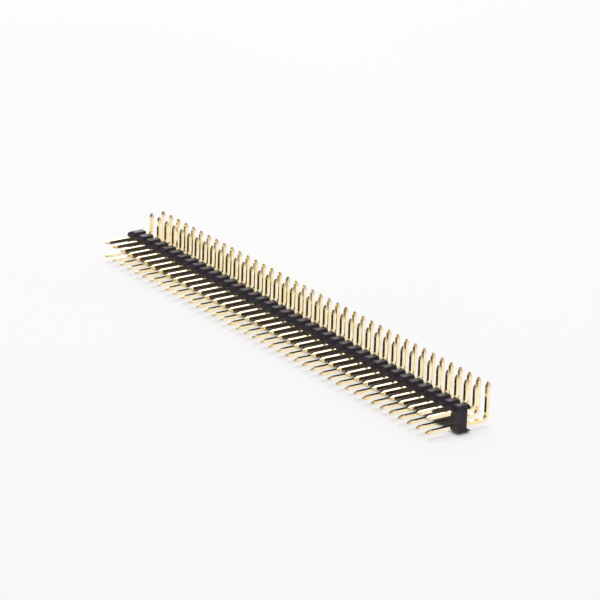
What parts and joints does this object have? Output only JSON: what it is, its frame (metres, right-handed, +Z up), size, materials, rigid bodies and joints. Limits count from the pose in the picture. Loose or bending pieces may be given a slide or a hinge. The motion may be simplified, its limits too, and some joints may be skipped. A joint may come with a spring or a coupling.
{
  "type": "pin header strip",
  "caption": "Two-row right-angle pin header strip: square gold-plated pins in a notched black housing, mating ends forward and tails turned up behind.",
  "frame": {"origin": "middle of the strip's overall length and depth, on the surface that the housing stands on", "axes": "+X along the strip, -Y the way the mating ends point, +Z up along the tails"},
  "size_m": [0.08, 0.01, 0.0061],
  "materials": {
    "housing_plastic": "moulded black plastic, satin",
    "pin_plating": "thin gold plating, bright"
  },
  "bodies": {
    "root": {"housing": "housing_plastic", "pin_pair_01": "pin_plating", "pin_pair_02": "pin_plating", "pin_pair_03": "pin_plating", "pin_pair_04": "pin_plating", "pin_pair_05": "pin_plating", "pin_pair_06": "pin_plating", "pin_pair_07": "pin_plating", "pin_pair_08": "pin_plating", "pin_pair_09": "pin_plating", "pin_pair_10": "pin_plating", "pin_pair_11": "pin_plating", "pin_pair_12": "pin_plating", "pin_pair_13": "pin_plating", "pin_pair_14": "pin_plating", "pin_pair_15": "pin_plating", "pin_pair_16": "pin_plating", "pin_pair_17": "pin_plating", "pin_pair_18": "pin_plating", "pin_pair_19": "pin_plating", "pin_pair_20": "pin_plating", "pin_pair_21": "pin_plating", "pin_pair_22": "pin_plating", "pin_pair_23": "pin_plating", "pin_pair_24": "pin_plating", "pin_pair_25": "pin_plating", "pin_pair_26": "pin_plating", "pin_pair_27": "pin_plating", "pin_pair_28": "pin_plating", "pin_pair_29": "pin_plating", "pin_pair_30": "pin_plating", "pin_pair_31": "pin_plating", "pin_pair_32": "pin_plating", "pin_pair_33": "pin_plating", "pin_pair_34": "pin_plating", "pin_pair_35": "pin_plating", "pin_pair_36": "pin_plating", "pin_pair_37": "pin_plating", "pin_pair_38": "pin_plating", "pin_pair_39": "pin_plating", "pin_pair_40": "pin_plating"}
  },
  "joints": []
}
